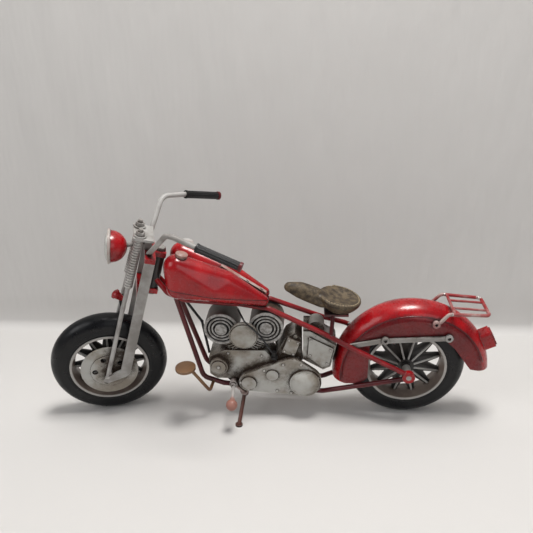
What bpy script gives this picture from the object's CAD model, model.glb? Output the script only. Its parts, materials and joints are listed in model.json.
# Handmade tin V-twin motorcycle, with a springer fork, leaning on its side stand with the bars turned left.
import json
import math
import bpy
import bmesh
from mathutils import Matrix, Vector
from mathutils.bvhtree import BVHTree


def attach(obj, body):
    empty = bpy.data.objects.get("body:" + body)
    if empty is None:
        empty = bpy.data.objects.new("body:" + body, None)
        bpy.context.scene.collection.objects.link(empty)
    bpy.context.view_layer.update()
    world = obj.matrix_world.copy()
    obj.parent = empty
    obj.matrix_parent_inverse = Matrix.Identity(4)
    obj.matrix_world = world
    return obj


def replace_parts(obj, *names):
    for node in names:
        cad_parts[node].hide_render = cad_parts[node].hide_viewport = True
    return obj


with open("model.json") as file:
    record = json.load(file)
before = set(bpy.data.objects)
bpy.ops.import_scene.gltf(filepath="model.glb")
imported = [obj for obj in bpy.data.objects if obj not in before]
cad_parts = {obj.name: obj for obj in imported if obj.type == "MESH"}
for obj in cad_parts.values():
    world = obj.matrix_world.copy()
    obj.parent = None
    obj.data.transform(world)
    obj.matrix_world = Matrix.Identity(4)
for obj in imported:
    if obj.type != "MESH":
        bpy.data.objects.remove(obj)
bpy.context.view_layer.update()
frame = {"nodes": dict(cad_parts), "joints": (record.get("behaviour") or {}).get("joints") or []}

# ---- Stance ----
# The upright motorcycle's own axes, and the turned fork's, read from the hinges that the wheels and the bars turn on.
# Lengths in both are in millimetres: x to the rear, y to the rider's right, z up.
hinges = {j["name"]: j for j in frame["joints"]}


def axes(origin, across, up):
    across, up = Vector(across).normalized(), Vector(up).normalized()
    back = across.cross(up).normalized()
    up = back.cross(across)
    turn = Matrix((back, across, up)).transposed().to_4x4()
    return Matrix.Translation(origin) @ turn @ Matrix.Scale(0.001, 4)


AXLE_Z = 35.0
rear_axle_line = Vector(hinges["rear_wheel_spin"]["axis"])
rear_axle_up = Vector((1, 0, 0)).cross(rear_axle_line)
bike = axes(hinges["rear_wheel_spin"]["pos_m"], rear_axle_line, rear_axle_up) @ Matrix.Translation((0, 0, -AXLE_Z))
fork = axes(hinges["front_wheel_spin"]["pos_m"], hinges["front_wheel_spin"]["axis"], hinges["steering"]["axis"])

ENGINE_X = -44.0
NECK = Vector((-149.5, 0, 86.8))


def m(x, y, z):
    """A point measured from the front of the fender and the height of the axle, in the bike's millimetres."""
    return Vector((ENGINE_X + x, y, AXLE_Z + z))


def n(x, y, z):
    """A point measured from the lower end of the head tube, in the bike's millimetres."""
    return NECK + Vector((x, y, z))


# ---- Camera ----
# A level tripod in front of the left side, a little above the tank.
CAMERA_AT = (-56.4, -295.14, 244.0)
CAMERA_YAW, CAMERA_PITCH, CAMERA_ROLL = (math.radians(a) for a in (4.93, 26.13, 2.08))
SENSOR_MM, LENS_MM = 36, 39.19
camera_data = bpy.data.cameras.new("camera")
camera_data.sensor_width, camera_data.lens = SENSOR_MM, LENS_MM
camera = bpy.data.objects.new("camera", camera_data)
bpy.context.collection.objects.link(camera)
bpy.context.scene.camera = camera
level = Matrix.Rotation(math.radians(90), 4, "X")
gaze = (Matrix.Rotation(CAMERA_YAW, 4, "Z") @ Matrix.Rotation(-CAMERA_PITCH, 4, "X")
        @ Matrix.Rotation(CAMERA_ROLL, 4, "Y") @ level)
camera.matrix_world = bike @ Matrix.Translation(CAMERA_AT) @ gaze @ Matrix.Scale(1000, 4)

# ---- Floor and backdrop ----
# A pale grey cloth lies on the table and hangs behind it, lit by broad soft lamps from above.
# It shows from its front only, so that it doesn't hide the model from behind.


AO_SAMPLES = 6


class Value:
    """A number that varies over a surface, so that sums on it add Math nodes."""

    def __init__(self, finish, socket):
        self.finish, self.socket = finish, socket

    def sum(self, operation, a, b=None):
        terms = {0: a} if b is None else {0: a, 1: b}
        return Value(self.finish, self.finish.node("ShaderNodeMath", {"operation": operation}, terms).outputs[0])

    def __add__(self, other):
        return self.sum("ADD", self, other)

    __radd__ = __add__

    def __sub__(self, other):
        return self.sum("SUBTRACT", self, other)

    def __rsub__(self, other):
        return self.sum("SUBTRACT", other, self)

    def __mul__(self, other):
        return self.sum("MULTIPLY", self, other)

    __rmul__ = __mul__

    def __abs__(self):
        return self.sum("ABSOLUTE", self)

    def between(self, low, high, start=0.0, end=1.0):
        """Eased from start to end as this value goes from low to high."""
        inputs = {"Value": self, "From Min": low, "From Max": high, "To Min": start, "To Max": end}
        eased = self.finish.node("ShaderNodeMapRange", {"interpolation_type": "SMOOTHSTEP"}, inputs)
        return Value(self.finish, eased.outputs[0])


class Finish:
    """A material on one Principled shader, patterned in object coordinates, in metres."""

    def __init__(self, name, **shader):
        self.material = bpy.data.materials.new(name)
        self.material.use_nodes = True
        self.tree = self.material.node_tree
        self.tree.nodes.clear()
        self.shader = self.node("ShaderNodeBsdfPrincipled", {}, {k.replace("_", " "): v for k, v in shader.items()})
        self.node("ShaderNodeOutputMaterial", {}, {"Surface": self.shader.outputs[0]})
        self.place = self.node("ShaderNodeTexCoord", {}, {}).outputs["Object"]

    def feed(self, socket, value):
        value = value.socket if isinstance(value, Value) else value
        if isinstance(value, bpy.types.NodeSocket):
            self.tree.links.new(value, socket)
        else:
            socket.default_value = value

    def node(self, kind, settings, inputs):
        made = self.tree.nodes.new(kind)
        for key, value in settings.items():
            setattr(made, key, value)
        for key, value in inputs.items():
            self.feed(made.inputs[key], value)
        return made

    def vector(self, operation, a, b=None):
        terms = {0: a} if b is None else {0: a, 1: tuple(b)}
        return self.node("ShaderNodeVectorMath", {"operation": operation}, terms)

    def noise(self, scale, detail=3.0, rough=0.55, place=None):
        inputs = {"Vector": place or self.place, "Scale": scale, "Detail": detail, "Roughness": rough}
        return Value(self, self.node("ShaderNodeTexNoise", {}, inputs).outputs[0])

    def stretched(self, scale, turn=(0, 0, 0)):
        return self.node("ShaderNodeMapping", {}, {"Vector": self.place, "Scale": scale, "Rotation": turn}).outputs[0]

    def axis(self, direction, origin):
        """Distance along a direction from a point, in metres."""
        moved = self.vector("SUBTRACT", self.place, origin).outputs[0]
        return Value(self, self.vector("DOT_PRODUCT", moved, direction).outputs["Value"])

    def radius(self, direction, origin):
        """Distance from the line through a point, in metres."""
        moved = self.vector("SUBTRACT", self.place, origin).outputs[0]
        across = self.vector("CROSS_PRODUCT", moved, direction).outputs[0]
        return Value(self, self.vector("LENGTH", across).outputs["Value"])

    def shelter(self, reach, inside):
        settings = {"samples": AO_SAMPLES, "inside": inside}
        return 1 - Value(self, self.node("ShaderNodeAmbientOcclusion", settings, {"Distance": reach}).outputs["AO"])

    def crease(self, reach):
        """1 deep in a joint or corner, 0 out in the open."""
        return self.shelter(reach, False)

    def edge(self, reach):
        """1 on a sharp outer edge, 0 on a flat."""
        return self.shelter(reach, True)

    def mix(self, amount, first, second):
        return self.node("ShaderNodeMix", {"data_type": "RGBA"}, {0: amount, 6: first, 7: second}).outputs[2]

    def set(self, **sockets):
        for key, value in sockets.items():
            self.feed(self.shader.inputs[key.replace("_", " ")], value)

    def bump(self, height, distance, strength=1.0):
        inputs = {"Height": height, "Distance": distance, "Strength": strength}
        self.set(Normal=self.node("ShaderNodeBump", {}, inputs).outputs[0])


def paint_color(r, g, b):
    return (r, g, b, 1.0)


HANG_FROM, HANG_TO = 0.004, 0.03
cloth = Finish("table cloth", Roughness=0.9)
weave = cloth.noise(2600, 2)
folds = cloth.noise(1, 3, 0.5, cloth.stretched((34, 10, 9), (0.1, 0.35, 0.2)))
hanging = cloth.axis((0, 0, 1), (0, 0, 0)).between(HANG_FROM, HANG_TO)
cloth.set(Base_Color=cloth.mix(hanging, paint_color(0.58, 0.565, 0.55), paint_color(0.52, 0.505, 0.49)))
back = Value(cloth, cloth.node("ShaderNodeNewGeometry", {}, {}).outputs["Backfacing"])
cloth.set(Alpha=1 - back)
cloth.bump(weave * 0.02 + folds * hanging, 0.006, 0.4)


def settle(name, form, place, finish, body=None):
    """Puts a bmesh, drawn in a piece's own millimetres, in its place and gives it its finish."""
    bmesh.ops.transform(form, matrix=place, verts=form.verts)
    mesh = bpy.data.meshes.new(name)
    form.to_mesh(mesh)
    form.free()
    made = bpy.data.objects.new(name, mesh)
    bpy.context.collection.objects.link(made)
    mesh.materials.append(finish.material)
    mesh.shade_smooth()
    if body:
        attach(made, body)
    return made


WALL_Y, WALL_TOP, COVE_R, COVE_STEPS, CLOTH_HALF = 0.115, 2.4, 0.008, 8, 2.2
strip = bmesh.new()
bends = [math.pi / 2 * t / COVE_STEPS for t in range(COVE_STEPS + 1)]
cove = [(WALL_Y - COVE_R + COVE_R * math.sin(a), COVE_R - COVE_R * math.cos(a)) for a in bends]
outline = [(-CLOTH_HALF, 0)] + cove + [(WALL_Y, WALL_TOP)]
line = [strip.verts.new((-CLOTH_HALF, y, z)) for y, z in outline]
rails = [strip.edges.new(pair) for pair in zip(line, line[1:])]
swept = bmesh.ops.extrude_edge_only(strip, edges=rails)["geom"]
moved = [v for v in swept if isinstance(v, bmesh.types.BMVert)]
bmesh.ops.translate(strip, verts=moved, vec=(2 * CLOTH_HALF, 0, 0))
strip.normal_update()
if min(face.normal.z - face.normal.y for face in strip.faces) < 0:
    bmesh.ops.reverse_faces(strip, faces=strip.faces)
settle("floor", strip, Matrix.Identity(4), cloth)


def lamp(name, at, aim, size, power, color=(1, 1, 1)):
    data = bpy.data.lights.new(name, "AREA")
    data.shape, data.size, data.energy, data.color = "DISK", size, power, color
    made = bpy.data.objects.new(name, data)
    bpy.context.collection.objects.link(made)
    turn = (Vector(at) - Vector(aim)).to_track_quat("Z", "Y").to_matrix().to_4x4()
    made.matrix_world = Matrix.Translation(at) @ turn


lamp("overhead lamp", (0.12, -0.10, 0.9), (0, 0.02, 0), 0.3, 7.6, (1, 0.985, 0.96))
lamp("left lamp", (-0.7, -0.5, 0.65), (0, 0, 0.05), 0.6, 2.6)
lamp("front lamp", (0.45, -0.9, 0.5), (0, 0, 0.05), 0.7, 1.7, (0.97, 0.98, 1))
world = bpy.data.worlds.new("room")
world.use_nodes = True
sky = world.node_tree.nodes["Background"].inputs
sky["Color"].default_value, sky["Strength"].default_value = (0.9, 0.92, 0.95, 1), 0.2
bpy.context.scene.world = world
bpy.context.scene.view_settings.view_transform = "Standard"

# ---- Paints ----
# Every metal part is brushed with thick enamel by hand. Then a dark brown wash is wiped over it, which stays in
# the corners, and its edges are rubbed bare.


def coat(*parts, finish):
    for name in parts:
        node = frame["nodes"][name]
        if node.material_slots:
            for slot in node.material_slots:
                slot.material = finish.material
        else:
            node.data.materials.append(finish.material)


def enamel(name, light, deep, grime, bare, wear, rough=0.3, shine=0.4, reach=0.003, wash=1.6, gloom=0.25):
    """Returns the finish and its worn paint colour. A higher wash or a lower gloom leaves more of the dark colour."""
    made = Finish(name, Roughness=rough, Coat_Weight=shine * 0.5, Coat_Roughness=0.12, Specular_IOR_Level=0.35)
    broad, fine = made.noise(60, 4), made.noise(480, 5, 0.65)
    hollow, rim = made.crease(reach), made.edge(0.0006)
    body = made.mix(broad.between(0.35, 0.65), light, deep)
    blotch = made.noise(210, 5, 0.7)
    dirt = hollow * wash + (fine - 0.5) * 0.9 + (broad - 0.5) * 0.7 + (blotch - 0.5) * 1.2
    dirt = dirt.between(gloom, gloom + 0.55)
    rubbed = (rim * 1.5 + (fine - 0.5) * 1.6).between(0.7, 1.0) * wear
    made.color = made.mix(rubbed, made.mix(dirt, body, grime), bare)
    made.set(Base_Color=made.color, Metallic=rubbed * 0.7, Roughness=(dirt * 0.3 + fine * 0.2 + rough - 0.08))
    made.height = broad * 0.4 + fine * 0.25
    made.bump(made.height, 0.00014, 0.6)
    return made


RED, DEEP_RED, DARK_RED = (paint_color(*c) for c in ((0.36, 0.004, 0.007), (0.22, 0.002, 0.005), (0.022, 0.002, 0.003)))
SILVER, DULL_SILVER, BARE = (paint_color(*c) for c in ((0.40, 0.39, 0.375), (0.22, 0.205, 0.19), (0.55, 0.53, 0.50)))
UMBER, INK, SCUFFED = (paint_color(*c) for c in ((0.028, 0.016, 0.009), (0.004, 0.0035, 0.0035), (0.2, 0.18, 0.16)))
red = enamel("bright red enamel", RED, DEEP_RED, DARK_RED, SILVER, 0.3, rough=0.26, shine=0.5)
maroon = enamel("maroon enamel", paint_color(0.10, 0.003, 0.006), paint_color(0.045, 0.002, 0.004),
                paint_color(0.008, 0.003, 0.003), SILVER, 0.3)
rail_red = enamel("frame enamel", paint_color(0.24, 0.005, 0.008), paint_color(0.11, 0.003, 0.005),
                  DARK_RED, SILVER, 0.3)
worn_red = enamel("worn red enamel", paint_color(0.24, 0.01, 0.012), paint_color(0.40, 0.36, 0.33),
                  DARK_RED, BARE, 1.0, shine=0.2)
rubbed_silver = enamel("rubbed silver", SILVER, paint_color(0.30, 0.14, 0.11), UMBER, BARE, 0.9,
                       rough=0.4, shine=0.1, reach=0.004, wash=1.8)
silver = enamel("silver paint", SILVER, DULL_SILVER, UMBER, BARE, 0.7, rough=0.38, shine=0.1)
casting = enamel("washed silver casting", paint_color(0.43, 0.425, 0.40), paint_color(0.24, 0.21, 0.17), UMBER, BARE,
                 0.9, rough=0.45, shine=0.05, reach=0.006, wash=2.7, gloom=0.16)
casting.bump(casting.height + casting.noise(260, 4) * 1.2, 0.0003, 0.7)
black = enamel("black enamel", paint_color(0.012, 0.011, 0.011), paint_color(0.03, 0.025, 0.022), INK, SCUFFED, 0.5)
brown = enamel("brown enamel", paint_color(0.19, 0.10, 0.045), paint_color(0.11, 0.05, 0.025), UMBER, SILVER, 0.4)
stand_brown = enamel("dark stand paint", paint_color(0.09, 0.03, 0.02), paint_color(0.05, 0.02, 0.015), INK,
                     SILVER, 0.9)
sleeve = enamel("black cable sleeve", INK, paint_color(0.02, 0.02, 0.022), INK, paint_color(0.05, 0.05, 0.05), 0.2,
                rough=0.4, shine=0.2)

coat("headlight_shell", "horn", "tail_light", "upper_yoke", "lower_yoke", "axle_plates", finish=red)
coat("upper_rail_left", "upper_rail_right", finish=rail_red)
coat("cradle_left", "cradle_right", "seat_bracket", finish=maroon)
coat("luggage_rack", "headlight_bezel", finish=worn_red)
coat("filler_caps", "tank_strip", "footpegs", finish=rubbed_silver)
coat("front_spokes", "rear_spokes", "handlebar_left", "handlebar_right", "fender_struts", "spring_perch",
     "spring_bolts", "fork_leg_left", "fork_leg_right", "fork_rods", "steering_stem", "front_axle", "rear_axle",
     finish=silver)
coat("crankcase", "cylinders", "air_cleaner", "generator_cover", "primary_cover", "gearbox", "oil_tank", "exhaust",
     "brake_disc", finish=casting)
coat("front_star_plate", "rear_star_plate", "front_hub", "rear_hub", "head_tube", "horn_bracket", finish=black)
coat("engine_cables", finish=sleeve)
coat("foot_pad", finish=brown)
coat("side_stand", finish=stand_brown)


# ---- Head drums ----
# The two finned heads are dark brown castings, and the rings on their round side faces are brushed with silver.
DRUM_FACE, FADE = 0.0073, 0.0001


def line_of(place, at, toward):
    """The direction and the start, in the row's frame, of a line drawn in a piece's own millimetres."""
    return (place.to_3x3() @ Vector(toward)).normalized(), place @ Vector(at)


drum_paint = enamel("dark head casting", paint_color(0.07, 0.045, 0.03), paint_color(0.035, 0.022, 0.016), INK,
                    DULL_SILVER, 0.5, rough=0.4, shine=0.1)
drum_side = drum_paint.axis(*line_of(bike, (0, 0, AXLE_Z), (0, 1, 0)))
on_face = abs(drum_side).between(DRUM_FACE - FADE, DRUM_FACE + FADE)
ring_tone = drum_paint.mix(drum_paint.noise(600, 3).between(0.35, 0.6), DULL_SILVER, SILVER)
drum_paint.set(Base_Color=drum_paint.mix(on_face * 0.9, drum_paint.color, ring_tone))
coat("head_drums", finish=drum_paint)

# ---- Rims ----
# The pressed rims are grey-brown inside, and the lips around their edges are rubbed to bright silver.
LIP_INNER, LIP_BLUR = 0.0222, 0.0003


def rim_paint(name, place, at):
    made = enamel(name, paint_color(0.20, 0.16, 0.135), paint_color(0.12, 0.09, 0.075), UMBER, SILVER, 0.5,
                  rough=0.42, shine=0.1)
    lip = made.radius(*line_of(place, at, (0, 1, 0))).between(LIP_INNER - LIP_BLUR, LIP_INNER + LIP_BLUR)
    made.set(Base_Color=made.mix(lip * 0.85, made.color, SILVER), Metallic=lip * 0.5)
    return made


front_centre, rear_centre = Vector((0, 0, 0)), Vector((0, 0, AXLE_Z))
coat("front_rim", finish=rim_paint("front rim paint", fork, front_centre))
coat("rear_rim", finish=rim_paint("rear rim paint", bike, rear_centre))

# ---- Tyres ----
# Each tyre is moulded in glossy black rubber and stretched over its rim. It has a ridge on both side walls, and
# short nibs left by the mould's vents.
TYRE_R, CROWN_R, BEAD_R, BEAD_Y = 35.0, 7.0, 22.5, 6.2
RIDGE_R, TYRE_STEPS = 25.6, 112
NIB_R, NIB_L, NIB_COUNT, NIB_LEAN = 0.22, 0.7, 18, math.radians(58)
rubber = Finish("black rubber", Roughness=0.3, Specular_IOR_Level=0.3)
scuff, grit = rubber.noise(120, 4), rubber.noise(900, 4, 0.6)
dust = (rubber.crease(0.003) * 1.2 + (scuff - 0.5) * 0.8).between(0.3, 0.9)
rubber.set(Base_Color=rubber.mix(dust * 0.5, paint_color(0.002, 0.0022, 0.0032), paint_color(0.016, 0.015, 0.015)),
           Roughness=scuff.between(0.3, 0.7, 0.24, 0.44))
rubber.bump(scuff * 0.6 + grit * 0.3, 0.00012, 0.5)


def tyre(name, place, centre, body):
    form = bmesh.new()
    middle_r = TYRE_R - CROWN_R
    outline = [(BEAD_R, -BEAD_Y), (BEAD_R + 0.4, -BEAD_Y - 0.3), (RIDGE_R - 1.2, -BEAD_Y - 0.35)]
    outline += [(RIDGE_R - 0.5, -BEAD_Y - 0.72), (RIDGE_R, -BEAD_Y - 0.8), (RIDGE_R + 0.5, -BEAD_Y - 0.6)]
    arc = [math.radians(a) for a in range(-78, 79, 6)]
    outline += [(middle_r + CROWN_R * math.cos(a), CROWN_R * math.sin(a)) for a in arc]
    outline += [(r, -y) for r, y in reversed(outline[:6])]
    ring = [form.verts.new((r, y, 0)) for r, y in outline]
    edges = [form.edges.new(pair) for pair in zip(ring, ring[1:] + ring[:1])]
    bmesh.ops.spin(form, geom=ring + edges, cent=(0, 0, 0), axis=(0, 1, 0), angle=math.tau, steps=TYRE_STEPS,
                   use_merge=True)
    for side in (-1, 1):
        for i in range(NIB_COUNT):
            around = math.tau * (i + 0.25 * side) / NIB_COUNT
            wheelwards = Vector((math.cos(around), 0, math.sin(around)))
            out = wheelwards * math.cos(NIB_LEAN) + Vector((0, side * math.sin(NIB_LEAN), 0))
            root = wheelwards * middle_r + out * (CROWN_R + NIB_L * 0.35)
            turn = out.to_track_quat("Z", "Y").to_matrix().to_4x4()
            bmesh.ops.create_cone(form, cap_ends=True, segments=8, radius1=NIB_R, radius2=NIB_R * 0.6, depth=NIB_L,
                                  matrix=Matrix.Translation(root) @ turn)
    bmesh.ops.recalc_face_normals(form, faces=form.faces)
    return settle(name, form, place @ Matrix.Translation(centre), rubber, body)


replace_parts(tyre("front_tyre_rubber", fork, front_centre, "front_wheel"), "front_tyre")
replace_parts(tyre("rear_tyre_rubber", bike, rear_centre, "rear_wheel"), "rear_tyre")

# ---- Grips ----
# The grips are ribbed black rubber sleeves, and the flange at each outer end is dipped in dark red paint.
GRIP_IN, GRIP_OUT = Vector((27, 34, 104.9)), Vector((50, 45.5, 103.6))
CAP_LENGTH = 0.0012
for side, name in ((-1, "grip_left"), (1, "grip_right")):
    grip = enamel(name + " rubber", INK, paint_color(0.018, 0.018, 0.02), INK, paint_color(0.06, 0.06, 0.06), 0.4,
                  rough=0.45, shine=0.1)
    flip = Vector((1, side, 1))
    start, end = GRIP_IN * flip, GRIP_OUT * flip
    beyond = grip.axis(*line_of(fork, end, end - start)).between(-CAP_LENGTH - FADE, -CAP_LENGTH + FADE)
    grip.set(Base_Color=grip.mix(beyond, grip.color, paint_color(0.10, 0.008, 0.01)))
    coat(name, finish=grip)

# ---- Tank ----
# Two pressed teardrop halves, soldered along the seam and rounded over it, with a fine dark crease along each
# flank. They are the brightest red on the bike.
CREASE_FRONT, CREASE_BACK = n(12, 0, 4.5), m(-42, 0, 46.2)
TANK_VOXEL, TANK_ROUNDS = 0.0005, 14


def baked(made):
    """The mesh of an object as its modifiers leave it."""
    return bpy.data.meshes.new_from_object(made.evaluated_get(bpy.context.evaluated_depsgraph_get()))


def melted(node, name, voxel, rounds):
    """A copy of a CAD node with its facets and its edges rounded over."""
    form = bmesh.new()
    form.from_mesh(frame["nodes"][node].data)
    bmesh.ops.remove_doubles(form, verts=form.verts, dist=1e-6)
    mesh = bpy.data.meshes.new(name)
    form.to_mesh(mesh)
    form.free()
    made = bpy.data.objects.new(name, mesh)
    bpy.context.collection.objects.link(made)
    remesh = made.modifiers.new("remesh", "REMESH")
    remesh.mode, remesh.voxel_size = "VOXEL", voxel
    smooth = made.modifiers.new("smooth", "SMOOTH")
    smooth.factor, smooth.iterations = 0.5, rounds
    rounded = baked(made)
    made.modifiers.clear()
    made.data = rounded
    rounded.materials.clear()
    rounded.shade_smooth()
    return made


tank_paint = enamel("tank enamel", RED, DEEP_RED, DARK_RED, SILVER, 0.0, rough=0.24, shine=0.6, reach=0.006,
                    wash=1.3, gloom=0.42)
fall = (CREASE_BACK - CREASE_FRONT).normalized()
above = tank_paint.axis(*line_of(bike, CREASE_FRONT, Vector((0, 1, 0)).cross(fall)))
crease_line = abs(above).between(0.00015, 0.00045, 1, 0)
tank_paint.set(Base_Color=tank_paint.mix(crease_line * 0.85, tank_paint.color, DARK_RED))
tank_paint.bump(tank_paint.height - crease_line * 2, 0.0002, 0.6)
for node in ("tank_left", "tank_right"):
    half = melted(node, node + "_shell", TANK_VOXEL, TANK_ROUNDS)
    half.data.materials.append(tank_paint.material)
    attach(half, "chassis")
    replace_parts(half, node)

# ---- Rear fender ----
# The fender is one curved red sheet, with a rolled bead where its crown turns into the darker side skirts.
FENDER_CENTRE, BEAD_RING_R, BEAD_Y_AT, BEAD_D = Vector((2.5, 0, 31)), 41.6, 10.45, 0.8
BEAD_FROM, BEAD_TO, BEAD_STEP = 16, 186, 2
fender_paint = enamel("fender enamel", RED, DEEP_RED, DARK_RED, SILVER, 0.2, rough=0.26, shine=0.5)
from_hoop = fender_paint.radius(*line_of(bike, FENDER_CENTRE, (0, 1, 0)))
skirt = from_hoop.between(BEAD_RING_R / 1000 - 0.001, BEAD_RING_R / 1000 + 0.0002, 1, 0)
fender_paint.set(Base_Color=fender_paint.mix(skirt * 0.6, fender_paint.color, paint_color(0.05, 0.002, 0.004)))
coat("rear_fender", finish=fender_paint)


def tube(form, path, radius, sides=8):
    """Adds a round tube along a path of points, with closed ends."""
    rings = []
    count = len(path)
    normal = None
    for i, point in enumerate(path):
        ahead = (path[min(i + 1, count - 1)] - path[max(i - 1, 0)]).normalized()
        normal = normal or ahead.orthogonal().normalized()
        normal = (normal - ahead * normal.dot(ahead)).normalized()
        across = ahead.cross(normal)
        spokes = [(math.cos(math.tau * k / sides), math.sin(math.tau * k / sides)) for k in range(sides)]
        rings.append([form.verts.new(point + (normal * c + across * s) * radius) for c, s in spokes])
    for one, two in zip(rings, rings[1:]):
        for k in range(sides):
            form.faces.new((one[k], one[(k + 1) % sides], two[(k + 1) % sides], two[k]))
    form.faces.new(list(reversed(rings[0])))
    form.faces.new(rings[-1])


bead = bmesh.new()
hoop = [math.radians(a) for a in range(BEAD_FROM, BEAD_TO, BEAD_STEP)]
for side in (-1, 1):
    ring = [Vector((BEAD_RING_R * math.cos(a), side * BEAD_Y_AT, BEAD_RING_R * math.sin(a))) for a in hoop]
    tube(bead, [FENDER_CENTRE + v for v in ring], BEAD_D / 2)
bmesh.ops.recalc_face_normals(bead, faces=bead.faces)
settle("fender_beads", bead, bike, maroon, "chassis")

# ---- Fork springs ----
# Each spring is a close coil of grey steel wire around its rod, between the lower yoke and the perch.
SPRING_START, SPRING_END, SPRING_R, WIRE_D = (0.82, 8.1, 60.0), (1.78, 6.03, 90.0), 2.5, 0.95
TURNS, TURN_STEPS = 19, 14
coil = bmesh.new()
for side in (-1, 1):
    start, end = Vector(SPRING_START), Vector(SPRING_END)
    start.y, end.y = start.y * side, end.y * side
    along = (end - start).normalized()
    out = along.orthogonal().normalized()
    across = along.cross(out)
    steps = TURNS * TURN_STEPS
    path = []
    for t in range(steps + 1):
        a = math.tau * t / TURN_STEPS
        path.append(start.lerp(end, t / steps) + (out * math.cos(a) + across * math.sin(a)) * (SPRING_R - WIRE_D / 2))
    tube(coil, path, WIRE_D / 2, 6)
bmesh.ops.recalc_face_normals(coil, faces=coil.faces)
steel = enamel("spring steel", paint_color(0.30, 0.29, 0.28), paint_color(0.2, 0.18, 0.165), UMBER, BARE, 0.6,
               rough=0.35, shine=0.1, reach=0.0015, wash=1.2)
settle("spring_coils", coil, fork, steel, "fork")
coat("fork_springs", finish=steel)

# ---- Headlight lens ----
# A shallow dome of pale ribbed plastic is pressed into the bezel.
LENS_R, LENS_RISE, LENS_RIM, LENS_BACK, LENS_TILT = 8.3, 2.2, -1.3, -0.1, math.radians(81)
LAMP_AT = (-12.2, 0, 79.9)
lens = Finish("pale lens", Roughness=0.2, Coat_Weight=0.5)
flutes = lens.node("ShaderNodeTexWave", {"bands_direction": "Y"}, {"Vector": lens.place, "Scale": 260.0}).outputs[1]
haze = lens.noise(200, 3)
lens.set(Base_Color=lens.mix(haze.between(0.35, 0.7), paint_color(0.55, 0.55, 0.52), paint_color(0.42, 0.41, 0.38)))
lens.bump(Value(lens, flutes) + haze * 0.4, 0.0002, 0.5)
dome = bmesh.new()
arc = [math.radians(a) for a in range(0, 91, 9)]
outline = [(LENS_R * math.sin(a), LENS_RIM - LENS_RISE * math.cos(a)) for a in arc]
outline += [(LENS_R, LENS_BACK), (0, LENS_BACK)]
chain = [dome.verts.new((r, 0, z)) for r, z in outline]
edges = [dome.edges.new(pair) for pair in zip(chain, chain[1:])]
bmesh.ops.spin(dome, geom=chain + edges, cent=(0, 0, 0), axis=(0, 0, 1), angle=math.tau, steps=64,
               use_merge=True)
bmesh.ops.remove_doubles(dome, verts=dome.verts, dist=1e-4)
bmesh.ops.recalc_face_normals(dome, faces=dome.faces)
lamp_place = fork @ Matrix.Translation(LAMP_AT) @ Matrix.Rotation(LENS_TILT, 4, "Y")
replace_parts(settle("headlight_dome", dome, lamp_place, lens, "fork"), "headlight_lens")

# ---- Engine screws ----
# Hex-headed screws hold the primary cover, the gearbox lid, the oil tank's panel and the timing case.
HEAD_H, HEAD_DOME_AT, HEAD_OUT = 0.9, 0.42, 0.1
COVER_Y, TIMING_Y, PANEL_Y, LID_Y, CASE_Y = 12.7, 11.5, 9.7, 9.9, 8.5
COVER_SCREWS = ((-55, -8.4), (-50.5, -13.2), (-33, -14), (-24.5, -15.3), (-8.4, -4.4), (-8.6, -11.8), (-18.4, 5),
                (-29, 5), (-40.5, 0.6))
PANEL_SCREWS = ((-12.5, 20.2), (-1.2, 13.7), (-3.2, 4.4), (-13.1, 9.9))
CASE_SCREWS = ((-71.6, -3.2), (-42, 8.4), (-62, 10))
GENERATOR_SCREW = (-67.8, 2.3)
LID_AT, LID_TURN, LID_CORNER = (-24.2, 15.6), math.radians(20), (2.7, 4.1)
TIMING_AT, TIMING_RING_R, TIMING_COUNT = (-52, 5), 7.8, 6
screws = bmesh.new()


def screw(x, z, side, face_y, size):
    """A hex head with a domed middle, standing out from a face on one side of the engine."""
    turn = Matrix.Translation(m(x, side * (face_y + HEAD_OUT), z)) @ Matrix.Rotation(math.radians(-90 * side), 4, "X")
    head = bmesh.ops.create_cone(screws, cap_ends=True, segments=6, radius1=size, radius2=size * 0.9, depth=HEAD_H,
                                 matrix=turn)["verts"]
    bmesh.ops.bevel(screws, geom=list({e for v in head for e in v.link_edges}), offset=size * 0.12, segments=2,
                    profile=0.5, affect="EDGES", material=-1)
    bmesh.ops.create_uvsphere(screws, u_segments=12, v_segments=6, radius=size * 0.55,
                              matrix=turn @ Matrix.Translation((0, 0, HEAD_DOME_AT)) @ Matrix.Diagonal((1, 1, 0.5, 1)))


for x, z in COVER_SCREWS:
    screw(x, z, -1, COVER_Y, 0.85)
for x, z in PANEL_SCREWS:
    screw(x, z, -1, PANEL_Y, 0.7)
for across_lid, up_lid in ((-1, -1), (1, -1), (1, 1), (-1, 1)):
    u, v = across_lid * LID_CORNER[0], up_lid * LID_CORNER[1]
    x = LID_AT[0] + u * math.cos(LID_TURN) + v * math.sin(LID_TURN)
    z = LID_AT[1] - u * math.sin(LID_TURN) + v * math.cos(LID_TURN)
    screw(x, z, -1, LID_Y, 0.65)
for x, z in CASE_SCREWS:
    for side in (-1, 1):
        screw(x, z, side, CASE_Y, 0.75)
screw(*GENERATOR_SCREW, -1, COVER_Y, 1.2)
for i in range(TIMING_COUNT):
    around = math.tau * i / TIMING_COUNT
    screw(TIMING_AT[0] + TIMING_RING_R * math.cos(around), TIMING_AT[1] + TIMING_RING_R * math.sin(around), 1,
          TIMING_Y, 0.75)
bmesh.ops.recalc_face_normals(screws, faces=screws.faces)
settle("engine_screws", screws, bike, silver, "chassis").data.shade_flat()

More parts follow.
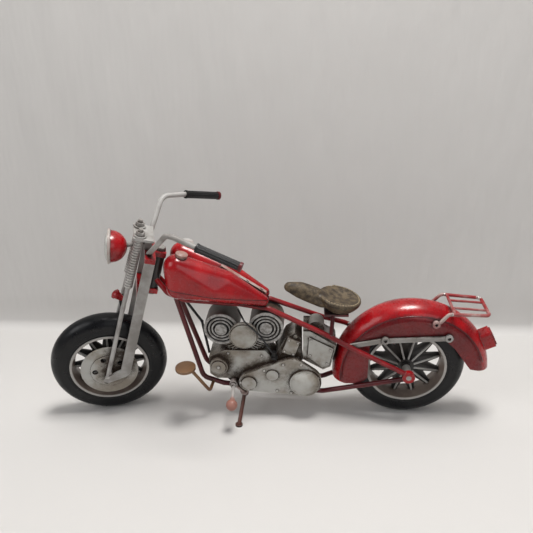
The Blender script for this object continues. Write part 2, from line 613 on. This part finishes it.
# ---- Seat ----
# A tractor saddle in worn olive-brown leather, stuffed, with a dished pan and a raised edge, and a pale waxed
# thread stitched around the pan. It sits on the bracket's plate.
PAN_AT, PAN_R, PAN_TIP = m(4, 0, 44.6), 13.0, math.radians(13)
DISH, DISH_FLOOR, LIP_RISE, LIP_AT, LIP_WIDTH, LIP_FLOOR, LIP_FRONT = 2.3, -1.2, 0.55, 0.93, 0.08, -1.0, -4
SEAT_VOXEL, SEAT_ROUNDS = 0.0006, 16
PUFF_SCALE, PUFF_CAP, PUFF_FRAMES, PUFF_PRESSURE = 20, 0.008, 16, 4.0
leather = Finish("worn leather", Roughness=0.5, Specular_IOR_Level=0.4)
patch = leather.noise(70, 4)
cells = leather.node("ShaderNodeTexVoronoi", {}, {"Vector": leather.place, "Scale": 1500.0})
grain = Value(leather, cells.outputs[0])
seat_hollow, seat_rim = leather.crease(0.003), leather.edge(0.0012)
streak = leather.noise(330, 5, 0.7)
hide = leather.mix(streak.between(0.38, 0.62), paint_color(0.03, 0.02, 0.012), paint_color(0.11, 0.08, 0.045))
sweat = (seat_hollow * 1.5 + (patch - 0.5) * 1.4).between(0.15, 0.75)
hide = leather.mix(sweat, hide, paint_color(0.012, 0.008, 0.006))
rubbed_hide = (seat_rim * 1.3 + (patch - 0.5)).between(0.55, 1.0)
leather.set(Base_Color=leather.mix(rubbed_hide * 0.7, hide, paint_color(0.20, 0.15, 0.09)),
            Roughness=patch.between(0.3, 0.7, 0.42, 0.66))
leather.bump(grain * 0.5 + patch * 0.8, 0.00018, 0.6)
seat = melted("seat", "seat_saddle", SEAT_VOXEL, SEAT_ROUNDS)
seat.data.materials.append(leather.material)
still = [v.co * PUFF_SCALE for v in seat.data.vertices]
for vertex, rest in zip(seat.data.vertices, still):
    vertex.co = rest
puff = seat.modifiers.new("cloth", "CLOTH")
puff.settings.use_pressure, puff.settings.uniform_pressure_force = True, PUFF_PRESSURE
puff.settings.effector_weights.gravity = 0.0
puff.settings.quality = 4
for number in range(1, PUFF_FRAMES + 1):
    bpy.context.scene.frame_set(number)
stuffed = baked(seat)
seat.modifiers.clear()
for vertex, rest, new in zip(seat.data.vertices, still, stuffed.vertices):
    move = new.co - rest
    vertex.co = (rest + move * min(1.0, PUFF_CAP / max(move.length, 1e-9))) / PUFF_SCALE
bpy.context.scene.frame_set(1)
upright = bike.inverted()
pan = Matrix.Translation(PAN_AT) @ Matrix.Rotation(PAN_TIP, 4, "Y")
into_pan = pan.inverted() @ upright
out_of_pan = into_pan.inverted()
for vertex in seat.data.vertices:
    p = into_pan @ vertex.co
    out = math.hypot(p.x, p.y) / PAN_R
    depth = max(0.0, 1 - out * out) ** 1.4 * DISH if p.z > DISH_FLOOR and p.x > -PAN_R else 0.0
    lip = math.exp(-((out - LIP_AT) / LIP_WIDTH) ** 2) * LIP_RISE if p.z > LIP_FLOOR and p.x > LIP_FRONT else 0.0
    vertex.co = out_of_pan @ (p + Vector((0, 0, lip - depth)))
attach(seat, "chassis")
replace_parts(seat, "seat")

STITCH_R, STITCH_L, STITCH_D, STITCH_RISE, STITCH_COUNT, STITCH_SWEEP = 11.4, 1.1, 0.62, 0.22, 32, 0.74
ABOVE_PAN = 6
surface = BVHTree.FromPolygons([v.co for v in seat.data.vertices], [p.vertices[:] for p in seat.data.polygons])
down = ((bike @ pan).to_3x3() @ Vector((0, 0, -1))).normalized()
thread_form = bmesh.new()
for i in range(STITCH_COUNT):
    around = math.tau * (i / STITCH_COUNT - 0.5) * STITCH_SWEEP
    ends = []
    for step in (-0.5, 0, 0.5):
        a = around + step * STITCH_L / STITCH_R
        above_pan = bike @ (pan @ Vector((STITCH_R * math.cos(a), STITCH_R * math.sin(a), ABOVE_PAN)))
        hit = surface.ray_cast(above_pan, down)[0]
        ends.append(upright @ hit + Vector((0, 0, STITCH_RISE if step == 0 else 0)))
    tube(thread_form, ends, STITCH_D / 2, 6)
bmesh.ops.recalc_face_normals(thread_form, faces=thread_form.faces)
thread = Finish("waxed thread", Roughness=0.7)
twist = thread.noise(2500, 2)
thread.set(Base_Color=thread.mix(twist, paint_color(0.42, 0.34, 0.22), paint_color(0.25, 0.19, 0.12)))
thread.bump(twist, 0.0001)
settle("seat_stitches", thread_form, bike, thread, "chassis")
